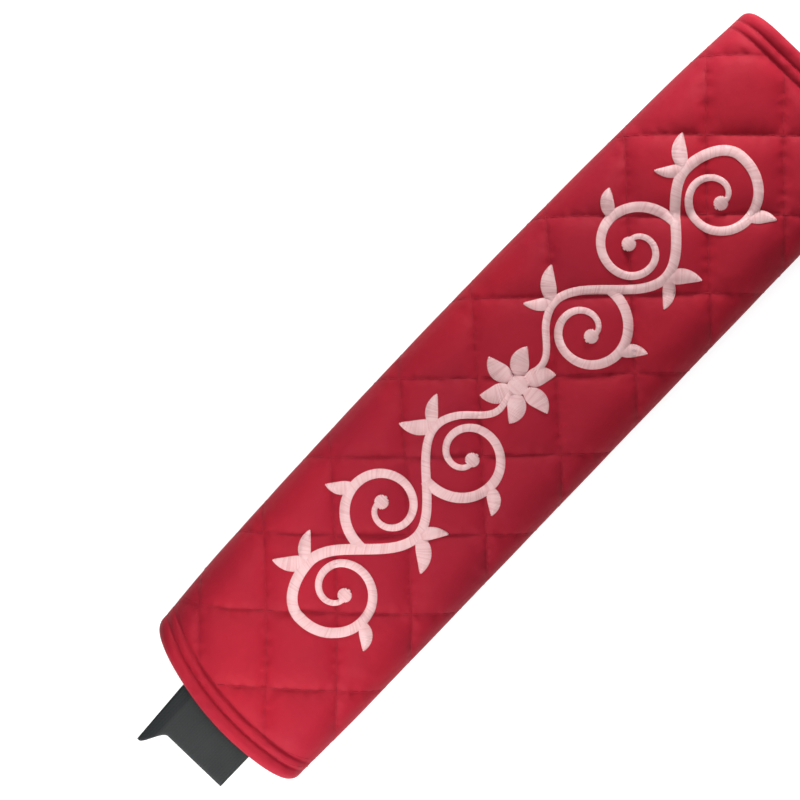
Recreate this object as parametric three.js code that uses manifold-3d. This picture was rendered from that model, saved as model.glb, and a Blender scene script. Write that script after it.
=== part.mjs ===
// Seat belt shoulder pad: a quilted fabric sleeve, closed round the belt by a hook and loop strip.
// It lies on its back. +X runs along the belt, +Y across it and +Z out of the quilted front.
// The origin is on the flat back, in the middle of the sleeve. All sizes are in millimetres.

import * as THREE from 'three';
import { mergeVertices } from 'three/addons/utils/BufferGeometryUtils.js';
import Module from 'manifold-3d';

// The closed sleeve
const padLength = 264;
const padWidth = 63;
const lowerEndBow = 5.5;
const lowerEndTilt = 2.8;
const bowReach = 36;
const sideBow = 3;
const channelHeight = 6.5;

// Layers of the padded wall
const coverThickness = 0.7;
const liningThickness = 0.5;
const frontFoam = 2.8;
const flapFoam = 1;
const seat = 0.3;

// Hems and turned-in edges
const hemRowOne = 4.9;
const hemRowTwo = 8.2;
const hemRise = 0.55;
const hemDepth = 10;
const pocketInset = 2;

// Quilting: diamonds with their diagonals along and across the belt
const quiltAlong = 32.6;
const quiltAcross = 32.8;
const quiltShiftAlong = -21.6;
const quiltShiftAcross = 3.8;
const puffHeight = 1.5;
const puffRun = 5;
const sidePuffShare = 0.35;
const stepsPerDiamond = 8;

// Closure on the back
const stripWidth = 20;
const stripLength = 240;
const stripThickness = 0.9;
const stripMargin = 2;
const innerFlapReach = 19;
const flapStepRun = 12.3;

// Embroidered scroll on the front
const scrollHalfWave = 28;
const scrollHeight = 9;
const scrollWaves = 3;
const scrollStart = 12;
const scrollAcross = -1.5;
const threadWidth = 3.2;
const tipWidth = 1.4;
const stemStart = 3;
const stemEase = 16;
const curlTurns = 1.3;
const curlTipRadius = 2.4;
const berryRadius = 2.1;
const budLength = 6;
const petalCount = 6;
const petalReach = 11.5;
const blossomRadius = 3;
const leafWidths = { long: 4.6, short: 3.8, bud: 4, petal: 5.6 };
const leafRoots = { long: 1, short: 1, petal: 1 };
const leafReach = { longAlong: 7, longAcross: 8, shortAlong: 7, shortAcross: 6 };
const embroideryRise = 0.8;

// Webbing tail under the lower end
const tailWidth = 29.8;
const tailAcross = -1.7;
const tailThickness = 1.2;
const tailInside = 52;
const tailOutside = 13.6;
const tailTipReach = 7.2;
const tailTipWidth = 6.6;

// Sizes that follow from the ones above
const wallOf = (foam) => 2 * coverThickness + liningThickness + foam + 3 * seat;
const frontWall = wallOf(frontFoam);
const flapWall = wallOf(flapFoam);
const stripStack = 2 * stripThickness + 3 * seat;
const innerFlapZ = flapWall + stripStack;
const channelFloorZ = innerFlapZ + flapWall;
const sleeveHeight = channelFloorZ + channelHeight + frontWall;
const rollRadius = sleeveHeight / 2;
const rollCentreY = padWidth / 2 - rollRadius;
const stepAngle = 2 * Math.atan(innerFlapZ / flapStepRun);
const stepRadius = flapStepRun / (2 * Math.sin(stepAngle));
const stripCentreY = -innerFlapReach + stripMargin + seat + stripWidth / 2;
const outerFlapEdgeY = stripCentreY + stripWidth / 2 + stripMargin;
const outerFacing = stripWidth + 2 * stripMargin;

// The section of the closed sleeve, followed on the outer face of its cover: from the free edge of
// the inner flap, down its step, round one side, over the front, round the other side and along the
// outer flap. Each run starts where the last one ends, and turns left where its turn is positive.
const runs = {
  innerFlap: { length: innerFlapReach + rollCentreY - flapStepRun, turn: 0 },
  stepDown: { length: stepRadius * stepAngle, turn: -1 / stepRadius },
  stepOut: { length: stepRadius * stepAngle, turn: 1 / stepRadius },
  nearSide: { length: Math.PI * rollRadius, turn: 1 / rollRadius },
  front: { length: 2 * rollCentreY, turn: 0 },
  farSide: { length: Math.PI * rollRadius, turn: 1 / rollRadius },
  outerFlap: { length: rollCentreY + outerFlapEdgeY, turn: 0 },
};

let reached = 0;
for (const run of Object.values(runs)) {
  run.start = reached;
  reached += run.length;
  run.end = reached;
}
const panelWidth = reached;
const frontMiddle = (runs.front.start + runs.front.end) / 2;

function sectionAt(s) {
  const point = new THREE.Vector2(-innerFlapReach, innerFlapZ);
  let heading = 0;
  for (const run of Object.values(runs)) {
    const part = THREE.MathUtils.clamp(s - run.start, 0, run.length);
    if (run.turn === 0) {
      point.x += part * Math.cos(heading);
      point.y += part * Math.sin(heading);
    } else {
      const turned = heading + part * run.turn;
      point.x += (Math.sin(turned) - Math.sin(heading)) / run.turn;
      point.y += (Math.cos(heading) - Math.cos(turned)) / run.turn;
      heading = turned;
    }
  }
  return { point, inward: new THREE.Vector2(-Math.sin(heading), Math.cos(heading)) };
}

// The share of the full padding: 1 on the front and sides, easing to 0 under each side
function fullness(s) {
  const nearMiddle = (runs.nearSide.start + runs.nearSide.end) / 2;
  const farMiddle = (runs.farSide.start + runs.farSide.end) / 2;
  const rising = THREE.MathUtils.smoothstep(s, runs.nearSide.start, nearMiddle);
  const falling = THREE.MathUtils.smoothstep(s, farMiddle, runs.farSide.end);
  return rising * (1 - falling);
}

const wallAt = (s) => THREE.MathUtils.lerp(flapWall, frontWall, fullness(s));

// The share of its height that a puff keeps: all of it on the front, and less where the wall turns
function puffShare(s) {
  const roundFrom = Math.max(runs.front.start - s, s - runs.front.end, 0);
  const turned = THREE.MathUtils.smoothstep(roundFrom, 0, (Math.PI * rollRadius) / 2);
  return fullness(s) * THREE.MathUtils.lerp(1, sidePuffShare, turned);
}

// A point of the cloth: s across the opened panel, x along it, and depth in from its outer face.
// One long side bows out at its middle. The lower end bows out between its corners and is a little
// askew.
function placed(s, x, depth) {
  const { point, inward } = sectionAt(s);
  const flatY = point.x + depth * inward.x;
  const along = x / (padLength / 2);
  const bulge = sideBow * (1 - along * along) * (flatY / padWidth + 0.5);
  const across = flatY / (padWidth / 2);
  const fromLowerEnd = x + padLength / 2;
  const bowShare = 1 - THREE.MathUtils.smoothstep(fromLowerEnd, hemDepth, bowReach);
  const bow = (lowerEndBow * (1 - across * across) - lowerEndTilt * across) * bowShare;
  return new THREE.Vector3(x - bow, flatY + bulge, point.y + depth * inward.y);
}

// Height of a quilted puff above its seams, 0 on each seam and 1 in the middle of a diamond
function pillow(s, x) {
  const along = (x - quiltShiftAlong) / quiltAlong;
  const across = (s - frontMiddle - quiltShiftAcross) / quiltAcross;
  const one = Math.abs(Math.sin(Math.PI * (along + across)));
  const other = Math.abs(Math.sin(Math.PI * (along - across)));
  return Math.sqrt(one * other);
}

// Height of the cover's outer face above its seams: a hem with two sewn rows, then the quilting
function faceRise(s, x) {
  const fromEnd = padLength / 2 - Math.abs(x);
  if (fromEnd < hemRowOne) {
    return hemRise * Math.sin((Math.PI * fromEnd) / hemRowOne) * fullness(s);
  }
  if (fromEnd < hemRowTwo) {
    const between = (fromEnd - hemRowOne) / (hemRowTwo - hemRowOne);
    return hemRise * Math.sin(Math.PI * between) * fullness(s);
  }
  const run = THREE.MathUtils.smoothstep(fromEnd, hemRowTwo, hemRowTwo + puffRun);
  return puffHeight * pillow(s, x) * run * puffShare(s);
}

// How far a face of the wall is drawn in at the folded edge of the panel
function edgeRound(s, x) {
  const radius = wallAt(s) / 2;
  const fromEdge = Math.min(padLength / 2 - Math.abs(x), s, panelWidth - s);
  const short = Math.max(radius - fromEdge, 0);
  return radius - Math.sqrt(Math.max(radius * radius - short * short, 0));
}

const evenly = (from, to, steps) =>
  Array.from({ length: steps + 1 }, (_, k) => from + ((to - from) * k) / steps);

// A closed solid between two depths over a grid of stations across and along the panel
function layer(across, along, outer, inner) {
  const positions = [];
  const columns = along.length;
  const sheet = across.length * columns;
  for (const depthAt of [outer, inner]) {
    for (const s of across) {
      for (const x of along) {
        positions.push(...placed(s, x, depthAt(s, x)).toArray());
      }
    }
  }
  const indices = [];
  const quad = (a, b, c, d, flipped) => {
    if (flipped) {
      indices.push(a, b, d, b, c, d);
    } else {
      indices.push(a, b, c, a, c, d);
    }
  };
  for (let i = 0; i + 1 < across.length; i++) {
    for (let j = 0; j + 1 < columns; j++) {
      const a = i * columns + j;
      const b = a + 1;
      const d = a + columns;
      const c = d + 1;
      const leansOver = seamLeans(across[i], across[i + 1], along[j], along[j + 1]);
      quad(a, d, c, b, leansOver);
      quad(sheet + a, sheet + b, sheet + c, sheet + d, !leansOver);
    }
  }
  const last = columns - 1;
  const bottom = (across.length - 1) * columns;
  for (let j = 0; j < last; j++) {
    quad(j, j + 1, sheet + j + 1, sheet + j, false);
    quad(bottom + j + 1, bottom + j, sheet + bottom + j, sheet + bottom + j + 1, false);
  }
  for (let i = 0; i + 1 < across.length; i++) {
    const a = i * columns;
    const b = a + columns;
    quad(b, a, sheet + a, sheet + b, false);
    quad(a + last, b + last, sheet + b + last, sheet + a + last, false);
  }
  return cleaned(positions, indices);
}

// Which diagonal of a quad lies along the quilting seam that is nearest to it
function seamLeans(s0, s1, x0, x1) {
  const along = ((x0 + x1) / 2 - quiltShiftAlong) / quiltAlong;
  const across = ((s0 + s1) / 2 - frontMiddle - quiltShiftAcross) / quiltAcross;
  const toSeam = (value) => Math.abs(value - Math.round(value));
  return toSeam(along + across) < toSeam(along - across);
}

// An indexed geometry with shared corners merged and collapsed triangles dropped
function cleaned(positions, indices) {
  const geometry = new THREE.BufferGeometry();
  geometry.setAttribute('position', new THREE.Float32BufferAttribute(positions, 3));
  geometry.setIndex(indices);
  const merged = mergeVertices(geometry, 1e-3);
  const kept = [];
  const index = merged.index.array;
  for (let k = 0; k < index.length; k += 3) {
    const [a, b, c] = index.slice(k, k + 3);
    if (a !== b && b !== c && c !== a) {
      kept.push(a, b, c);
    }
  }
  merged.setIndex(kept);
  return merged;
}

// Joins and cuts
const wasm = await Module();
wasm.setup();

function toSolid(geometry) {
  const bare = geometry.clone();
  bare.deleteAttribute('normal');
  bare.deleteAttribute('uv');
  const merged = mergeVertices(bare, 1e-3);
  const mesh = new wasm.Mesh({
    numProp: 3,
    vertProperties: new Float32Array(merged.attributes.position.array),
    triVerts: new Uint32Array(merged.index.array),
  });
  return new wasm.Manifold(mesh);
}

function toGeometry(solid) {
  const mesh = solid.getMesh();
  const geometry = new THREE.BufferGeometry();
  geometry.setAttribute('position', new THREE.BufferAttribute(mesh.vertProperties, 3));
  geometry.setIndex(new THREE.BufferAttribute(mesh.triVerts, 1));
  geometry.computeVertexNormals();
  return geometry;
}

// Stations across the panel: on the seams' grid over the front and sides, and few on the flaps
function coverStations() {
  const step = quiltAcross / stepsPerDiamond;
  const origin = frontMiddle + quiltShiftAcross;
  const quilted = [];
  const first = Math.ceil((runs.nearSide.start - origin) / step);
  const final = Math.floor((runs.farSide.end - origin) / step);
  for (let k = first; k <= final; k++) {
    quilted.push(origin + k * step);
  }
  const radius = flapWall / 2;
  const folded = [0, 0.15, 0.5, 1].map((share) => share * radius);
  const stepStations = evenly(runs.innerFlap.end, runs.stepOut.end, 8);
  const plain = [...folded, ...stepStations, runs.farSide.end];
  plain.push(...folded.map((part) => panelWidth - part));
  const clearOfPlain = quilted.filter((s) => plain.every((other) => Math.abs(s - other) > step / 3));
  return [...plain, ...clearOfPlain].sort((a, b) => a - b);
}

// Stations along the panel: on the seams' grid, with the folds and sewn rows of the hems
function lengthStations() {
  const step = quiltAlong / stepsPerDiamond;
  const half = padLength / 2;
  const radius = frontWall / 2;
  const hem = [0, 0.15 * radius, 0.5 * radius, radius, hemRowOne];
  hem.push((hemRowOne + hemRowTwo) / 2, hemRowTwo);
  const stations = [...hem.map((part) => part - half), ...hem.map((part) => half - part)];
  const inner = half - hemRowTwo - step / 3;
  const first = Math.ceil((-inner - quiltShiftAlong) / step);
  const final = Math.floor((inner - quiltShiftAlong) / step);
  for (let k = first; k <= final; k++) {
    stations.push(quiltShiftAlong + k * step);
  }
  return stations.sort((a, b) => a - b);
}

// Stations of the plain inner layers, which start and end a set distance inside the panel's edges
function plainStations(innerEdge, outerEdge) {
  const { stepOut, nearSide, farSide, innerFlap } = runs;
  return [
    innerEdge,
    ...evenly(innerFlap.end, stepOut.end, 8).slice(0, -1),
    ...evenly(nearSide.start, nearSide.end, 9),
    ...evenly(farSide.start, farSide.end, 9),
    panelWidth - outerEdge,
  ];
}

const plainLengths = (inset) => evenly(inset - padLength / 2, padLength / 2 - inset, 12);

function coverGeometry() {
  const outer = (s, x) => edgeRound(s, x) - faceRise(s, x);
  const inner = (s, x) => wallAt(s) - edgeRound(s, x);
  const wall = toSolid(layer(coverStations(), lengthStations(), outer, inner));
  const pocket = layer(
    plainStations(pocketInset, pocketInset),
    plainLengths(pocketInset),
    () => coverThickness,
    (s) => wallAt(s) - coverThickness,
  );
  const window = layer(
    plainStations(hemDepth, outerFacing),
    plainLengths(hemDepth),
    (s) => wallAt(s) - 1.5 * coverThickness,
    (s) => wallAt(s) + coverThickness,
  );
  return toGeometry(wall.subtract(toSolid(pocket)).subtract(toSolid(window)));
}

// The foam and the lining lie one on the other in the cover's pocket
function innerLayer(outer, inner) {
  const inset = pocketInset + seat;
  const geometry = layer(plainStations(inset, inset), plainLengths(inset), outer, inner);
  return toGeometry(toSolid(geometry));
}

const liningInner = (s) => wallAt(s) - coverThickness - seat;
const liningOuter = (s) => liningInner(s) - liningThickness;
const foamGeometry = () => innerLayer(() => coverThickness + seat, (s) => liningOuter(s) - seat);
const liningGeometry = () => innerLayer(liningOuter, liningInner);

// A flat stroke that follows a path and is as wide as its width function says, with round ends
function stroke(path, widthAt, steps) {
  const left = [];
  const right = [];
  for (let k = 0; k <= steps; k++) {
    const t = k / steps;
    const point = path(t);
    const ahead = path(Math.min(t + 1e-3, 1)).sub(path(Math.max(t - 1e-3, 0))).normalize();
    const side = new THREE.Vector2(-ahead.y, ahead.x).multiplyScalar(widthAt(t) / 2);
    left.push(point.clone().add(side));
    right.unshift(point.clone().sub(side));
    if (k === steps) {
      left.push(point.clone().addScaledVector(ahead, widthAt(t) / 2));
    }
    if (k === 0) {
      right.push(point.clone().addScaledVector(ahead, -widthAt(t) / 2));
    }
  }
  return raised([...left, ...right]);
}

// A leaf or petal: pointed at its tip and broadest a third of the way along
function leaf(root, tip, width) {
  const spine = tip.clone().sub(root);
  const side = new THREE.Vector2(-spine.y, spine.x).normalize();
  const bellies = [0.55, 1, 0.6];
  const edge = (sign) =>
    bellies.map((share, k) =>
      root
        .clone()
        .addScaledVector(spine, (k + 0.5) / (bellies.length + 0.4))
        .addScaledVector(side, (sign * share * width) / 2),
    );
  return raised([root, ...edge(-1), tip, ...edge(1).reverse()]);
}

function dot(centre, radius) {
  const circle = new THREE.EllipseCurve(centre.x, centre.y, radius, radius, 0, 2 * Math.PI);
  return raised(circle.getPoints(8).slice(0, 8));
}

function raised(outline) {
  const points = THREE.ShapeUtils.isClockWise(outline) ? [...outline].reverse() : outline;
  const shape = new THREE.Shape(points);
  const flat = new THREE.ExtrudeGeometry(shape, { depth: embroideryRise, bevelEnabled: false });
  return toSolid(flat);
}

// One half of the scroll: a waving stem with a curl, two leaves and a berry in each bend
function scrollHalf(mirror) {
  const at = (x, y) => new THREE.Vector2(mirror * x, y);
  const reach = scrollHalfWave / 2;
  const lastCrest = scrollStart + scrollHalfWave * (scrollWaves - 0.5);
  const stem = (t) => {
    const x = THREE.MathUtils.lerp(stemStart, lastCrest, t);
    const wave = Math.sin((Math.PI * (x - scrollStart)) / scrollHalfWave);
    return at(x, scrollHeight * wave * THREE.MathUtils.smoothstep(x, stemStart, stemStart + stemEase));
  };
  const lastSign = scrollWaves % 2 ? 1 : -1;
  const lastBend = (t) => {
    const angle = (t * Math.PI) / 2;
    return at(lastCrest + reach * Math.sin(angle), lastSign * scrollHeight * Math.cos(angle));
  };
  const stemWidth = (t) => THREE.MathUtils.lerp(tipWidth, threadWidth, Math.sqrt(t));
  const pieces = [stroke(stem, stemWidth, 24), stroke(lastBend, () => threadWidth, 8)];
  for (let k = 0; k < scrollWaves; k++) {
    const sign = k % 2 ? -1 : 1;
    const crest = scrollStart + scrollHalfWave * (k + 0.5);
    const drop = scrollHeight / 3;
    const startAngle = Math.atan2(drop, reach);
    const curl = (t) => {
      const angle = startAngle - t * curlTurns * 2 * Math.PI;
      const radius = THREE.MathUtils.lerp(Math.hypot(reach, drop), curlTipRadius, Math.pow(t, 0.9));
      return at(crest + radius * Math.cos(angle), sign * (radius * Math.sin(angle) - drop));
    };
    pieces.push(stroke(curl, (t) => THREE.MathUtils.lerp(threadWidth, tipWidth, t), 18));
    pieces.push(dot(curl(1), berryRadius));
    const top = sign * scrollHeight;
    const longTip = at(crest + leafReach.longAlong, top + sign * leafReach.longAcross);
    pieces.push(leaf(at(crest - leafRoots.long, top), longTip, leafWidths.long));
    const shortTip = at(crest - leafReach.shortAlong, top + sign * leafReach.shortAcross);
    pieces.push(leaf(at(crest + leafRoots.short, top), shortTip, leafWidths.short));
    const bend = curl(0.2);
    const budTip = at(mirror * bend.x + budLength, bend.y - sign * budLength);
    pieces.push(leaf(bend, budTip, leafWidths.bud));
  }
  return pieces;
}

// A blossom in the middle of the scroll
function blossom() {
  const pieces = [dot(new THREE.Vector2(0, 0), blossomRadius)];
  for (let k = 0; k < petalCount; k++) {
    const angle = (2 * Math.PI * (k + 0.5)) / petalCount;
    const ray = new THREE.Vector2(Math.cos(angle), Math.sin(angle));
    const root = ray.clone().multiplyScalar(leafRoots.petal);
    pieces.push(leaf(root, ray.clone().multiplyScalar(petalReach), leafWidths.petal));
  }
  return pieces;
}

// The whole embroidery is joined flat and laid over the front, one seat above the tops of its puffs
function embroideryGeometry() {
  const flat = [...blossom(), ...scrollHalf(1), ...scrollHalf(-1)].reduce((a, b) => a.add(b));
  const geometry = toGeometry(flat);
  const position = geometry.attributes.position;
  for (let k = 0; k < position.count; k++) {
    const x = position.getX(k);
    const s = frontMiddle + scrollAcross - position.getY(k);
    const point = placed(s, x, -puffHeight - seat - position.getZ(k));
    position.setXYZ(k, point.x, point.y, point.z);
  }
  geometry.computeVertexNormals();
  return geometry;
}

// A cut length of webbing in the mouth of the sleeve, with one corner of its end left long
function tailGeometry() {
  const mouth = -padLength / 2 - lowerEndBow;
  const end = mouth - tailOutside;
  const inside = -padLength / 2 + tailInside;
  const high = tailWidth / 2;
  const shape = new THREE.Shape();
  shape.moveTo(inside, -high);
  shape.lineTo(inside, high);
  shape.lineTo(mouth, high);
  shape.lineTo(end - tailTipReach, high - tailTipWidth / 4);
  const bend = (reach, width) => [end - reach * tailTipReach, high - width * tailTipWidth];
  shape.bezierCurveTo(...bend(0.83, 0.59), ...bend(0, 0.86), ...bend(0, 1.27));
  shape.lineTo(end, -high);
  shape.closePath();
  const depth = tailThickness;
  return new THREE.ExtrudeGeometry(shape, { depth, bevelEnabled: false, curveSegments: 8 });
}

const stripGeometry = () => new THREE.BoxGeometry(stripLength, stripWidth, stripThickness);

// Materials
const redFabric = new THREE.MeshStandardMaterial({ color: 0xb42a3c, roughness: 0.62, metalness: 0 });
const foam = new THREE.MeshStandardMaterial({ color: 0xe6e1d3, roughness: 0.95, metalness: 0 });
const mesh = new THREE.MeshStandardMaterial({ color: 0x2c2d30, roughness: 0.9, metalness: 0 });
const tape = new THREE.MeshStandardMaterial({ color: 0x1f2022, roughness: 0.85, metalness: 0 });
const thread = new THREE.MeshStandardMaterial({ color: 0xe9cfd1, roughness: 0.45, metalness: 0 });
const webbing = new THREE.MeshStandardMaterial({ color: 0x42474a, roughness: 0.7, metalness: 0 });

// Assembly
const pad = new THREE.Group();

function piece(name, geometry, material) {
  const built = new THREE.Mesh(geometry, material);
  built.name = name;
  pad.add(built);
  return built;
}

piece('quilted_cover', coverGeometry(), redFabric);
piece('foam_padding', foamGeometry(), foam);
piece('inner_lining', liningGeometry(), mesh);
piece('embroidered_scroll', embroideryGeometry(), thread);

const hookZ = flapWall + seat + stripThickness / 2;
piece('hook_strip', stripGeometry(), tape).position.set(0, stripCentreY, hookZ);
const loopZ = innerFlapZ - seat - stripThickness / 2;
piece('loop_strip', stripGeometry(), tape).position.set(0, stripCentreY, loopZ);

piece('webbing_tail', tailGeometry(), webbing).position.set(0, tailAcross, channelFloorZ + seat);

export default pad;
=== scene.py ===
import math

import bmesh
import bpy
import numpy as np
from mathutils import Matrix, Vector
from mathutils.bvhtree import BVHTree


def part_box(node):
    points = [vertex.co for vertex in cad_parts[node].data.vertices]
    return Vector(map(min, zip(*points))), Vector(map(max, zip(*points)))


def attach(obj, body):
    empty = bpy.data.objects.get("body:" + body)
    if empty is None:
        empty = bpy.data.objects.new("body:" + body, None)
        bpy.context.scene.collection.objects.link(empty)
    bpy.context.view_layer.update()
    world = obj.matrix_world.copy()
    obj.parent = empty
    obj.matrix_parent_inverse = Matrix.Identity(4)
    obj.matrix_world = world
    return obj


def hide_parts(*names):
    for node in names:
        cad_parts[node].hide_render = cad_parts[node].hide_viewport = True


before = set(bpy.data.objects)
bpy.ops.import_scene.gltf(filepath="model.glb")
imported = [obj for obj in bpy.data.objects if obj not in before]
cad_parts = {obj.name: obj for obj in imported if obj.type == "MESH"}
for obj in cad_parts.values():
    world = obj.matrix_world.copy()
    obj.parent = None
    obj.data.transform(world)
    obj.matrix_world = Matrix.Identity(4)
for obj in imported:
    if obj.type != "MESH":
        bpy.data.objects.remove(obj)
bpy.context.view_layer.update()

MM = 0.001
BODY = "root"

# The closed sleeve, in millimetres, with the cloth's sizes as the frame has them
PAD_LENGTH = 264
PAD_WIDTH = 63
LOWER_END_BOW = 5.5
LOWER_END_TILT = 2.8
BOW_REACH = 36
SIDE_BOW = 3
CHANNEL_HEIGHT = 6.5
COVER_THICKNESS = 0.7
LINING_THICKNESS = 0.5
FRONT_FOAM = 2.8
FLAP_FOAM = 1
SEAT = 0.3
HALF = PAD_LENGTH / 2

# Hems and turned-in edges
HEM_ROWS = HEM_ROW_ONE, HEM_ROW_TWO = 4.9, 8.2
HEM_RISE = 0.75
HEM_GROOVE = 0.55
HEM_GROOVE_WIDTH = 0.55
HEM_RIDGE_SHARE = 0.8
HEM_DEPTH = 10
POCKET_INSET = 2

# Quilting
QUILT_ALONG = 32.6
QUILT_ACROSS = 32.8
QUILT_SHIFT_ALONG = -21.6
QUILT_SHIFT_ACROSS = 3.8
LEAST_SPREAD = 0.55
# The seams' drift from an even grid, in diamonds: the factors of 1, u, w, uu, uw, uuu and uuw, where
# u is the place along the sleeve and w the place across its front, each from -1 to 1
DRIFT_ONE = (0.050, 0.042, 0.065, -0.127, 0.063, 0.014, -0.220)
DRIFT_OTHER = (0.020, -0.147, -0.014, -0.065, 0.003, 0.135, -0.088)
SEAM_PITCH = 1 / math.hypot(1 / QUILT_ALONG, 1 / QUILT_ACROSS)
SEAM_GROOVE = 0.24
SEAM_GROOVE_WIDTH = 1.3
SEAM_CREASE = 0.45
BACK_SEAM_DEPTH = 0.5
PUFF_HEIGHT = 1.7
PUFF_START = 0.8
PUFF_RUN = 4
PUFF_LIMIT = 3.0
PUFF_GAIN = 1.1
SIDE_PUFF_SHARE = 0.05
SIDE_LIFT = 0.5
PUCKER_REACH = 0.17
PUCKERS_PER_DIAMOND = 4.6
FRONT_CROWN = 0.9
STEPS_PER_DIAMOND = 16

# Closure
STRIP_WIDTH = 20
STRIP_THICKNESS = 0.9
STRIP_MARGIN = 2
INNER_FLAP_REACH = 19
FLAP_STEP_RUN = 12.3
OUTER_FACING = STRIP_WIDTH + 2 * STRIP_MARGIN

# Embroidered scroll
SCROLL_HALF_WAVE = 28
SCROLL_HEIGHT = 9
SCROLL_WAVES = 3
SCROLL_START = 12
SCROLL_ACROSS = -1.5
THREAD_WIDTH = 3.2
TIP_WIDTH = 1.4
STEM_START = 3
STEM_EASE = 16
STEM_SHARE = 0.86
CURL_TURNS = 1.3
CURL_TIP_RADIUS = 2.4
BERRY_RADIUS = 2.1
BUD_LENGTH = 6
PETAL_COUNT = 6
PETAL_REACH = 11.5
BLOSSOM_RADIUS = 3
LONG_LEAF, SHORT_LEAF, BUD, PETAL = 4.6, 3.8, 4, 5.6
SATIN_PITCH = 0.36
SATIN_RADIUS = 0.23
SATIN_RISE = 0.55
LEAST_RISE = 0.45
UNDERLAY_RISE = 0.8
UNDERLAY_PITCH = 1.1
STEM_SLANT = 0.3
LEAF_SLANT = 0.12
BERRY_LIFT = 0.15
CENTRE_LIFT = 0.4

# Webbing tail
TAIL_OUTSIDE = 13.6
TAIL_TAPER = 1.2
TAIL_SAG = 0.5
TAIL_FOLD_DROP = 0.9
TAIL_EDGE_RUN = 0.6
TAIL_SKIN = 0.06
RIB_PITCH = 2.4
RIB_RISE = 0.02

# Sewing
STITCH_LENGTH = 2.5
STITCH_PITCH = 3.1
STITCH_RADIUS = 0.13
STITCH_ARCH = 0.12
STITCH_SINK = 0.06
SEARCH_FROM = -6.0

FRONT_WALL = 2 * COVER_THICKNESS + LINING_THICKNESS + FRONT_FOAM + 3 * SEAT
FLAP_WALL = 2 * COVER_THICKNESS + LINING_THICKNESS + FLAP_FOAM + 3 * SEAT
INNER_FLAP_Z = FLAP_WALL + 2 * STRIP_THICKNESS + 3 * SEAT
SLEEVE_HEIGHT = INNER_FLAP_Z + FLAP_WALL + CHANNEL_HEIGHT + FRONT_WALL
ROLL_RADIUS = SLEEVE_HEIGHT / 2
ROLL_CENTRE = PAD_WIDTH / 2 - ROLL_RADIUS
STEP_ANGLE = 2 * math.atan(INNER_FLAP_Z / FLAP_STEP_RUN)
STEP_RADIUS = FLAP_STEP_RUN / (2 * math.sin(STEP_ANGLE))
STRIP_CENTRE = -INNER_FLAP_REACH + STRIP_MARGIN + SEAT + STRIP_WIDTH / 2
OUTER_FLAP_EDGE = STRIP_CENTRE + STRIP_WIDTH / 2 + STRIP_MARGIN


# The cloth's own coordinates: s across the opened panel, x along it, depth in from its outer face


def lay_out_runs():
    """The section's straight and round runs in order, each with its start, length and turn."""
    lengths = {
        "inner_flap": (INNER_FLAP_REACH + ROLL_CENTRE - FLAP_STEP_RUN, 0),
        "step_down": (STEP_RADIUS * STEP_ANGLE, -1 / STEP_RADIUS),
        "step_out": (STEP_RADIUS * STEP_ANGLE, 1 / STEP_RADIUS),
        "near_side": (math.pi * ROLL_RADIUS, 1 / ROLL_RADIUS),
        "front": (2 * ROLL_CENTRE, 0),
        "far_side": (math.pi * ROLL_RADIUS, 1 / ROLL_RADIUS),
        "outer_flap": (ROLL_CENTRE + OUTER_FLAP_EDGE, 0),
    }
    runs, start = {}, 0.0
    for name, (length, turn) in lengths.items():
        runs[name] = (start, start + length, turn)
        start += length
    return runs, start


RUNS, PANEL_WIDTH = lay_out_runs()
FRONT_MIDDLE = (RUNS["front"][0] + RUNS["front"][1]) / 2


def section(s):
    """The outer face's point and inward direction in the YZ plane at distance s across the panel."""
    s = np.asarray(s, float)
    y = np.full(s.shape, -float(INNER_FLAP_REACH))
    z = np.full(s.shape, float(INNER_FLAP_Z))
    heading = np.zeros(s.shape)
    for start, end, turn in RUNS.values():
        part = np.clip(s - start, 0, end - start)
        if turn == 0:
            y = y + part * np.cos(heading)
            z = z + part * np.sin(heading)
        else:
            onward = heading + part * turn
            y = y + (np.sin(onward) - np.sin(heading)) / turn
            z = z + (np.cos(heading) - np.cos(onward)) / turn
            heading = onward
    return y, z, -np.sin(heading), np.cos(heading)


def smoothstep(value, low, high):
    t = np.clip((np.asarray(value, float) - low) / (high - low), 0, 1)
    return t * t * (3 - 2 * t)


def bowed(x, y):
    """Where a point of the straight sleeve comes when one side and the lower end bow out."""
    bulge = SIDE_BOW * (1 - (x / HALF) ** 2) * (y / PAD_WIDTH + 0.5)
    across = y / (PAD_WIDTH / 2)
    share = 1 - smoothstep(x + HALF, HEM_DEPTH, BOW_REACH)
    bow = LOWER_END_BOW * (1 - across**2) - LOWER_END_TILT * across
    return x - bow * share, y + bulge


def placed(s, x, depth):
    """Points of the closed sleeve in millimetres, with its bowed side and lower end."""
    s, x, depth = np.broadcast_arrays(*(np.asarray(v, float) for v in (s, x, depth)))
    y, z, inward_y, inward_z = section(s)
    shown_x, shown_y = bowed(x, y + depth * inward_y)
    return np.stack([shown_x, shown_y, z + depth * inward_z], axis=-1)


def fullness(s):
    """1 on the front and sides, easing to 0 under each side."""
    near, far = RUNS["near_side"], RUNS["far_side"]
    rising = smoothstep(s, near[0], (near[0] + near[1]) / 2)
    return rising * (1 - smoothstep(s, (far[0] + far[1]) / 2, far[1]))


def turned(s):
    """0 on the front, and 1 from where the wall has nearly turned down the sleeve's side."""
    s = np.asarray(s, float)
    round_from = np.maximum(np.maximum(RUNS["front"][0] - s, s - RUNS["front"][1]), 0)
    return smoothstep(round_from, 0, 0.9 * math.pi * ROLL_RADIUS / 2)


def puff_share(s):
    """The share of its height that a puff keeps: all of it on the front, less where the wall turns."""
    return fullness(s) * (1 + (SIDE_PUFF_SHARE - 1) * turned(s))


def wall_at(s):
    return FLAP_WALL + (FRONT_WALL - FLAP_WALL) * fullness(s)


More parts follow.
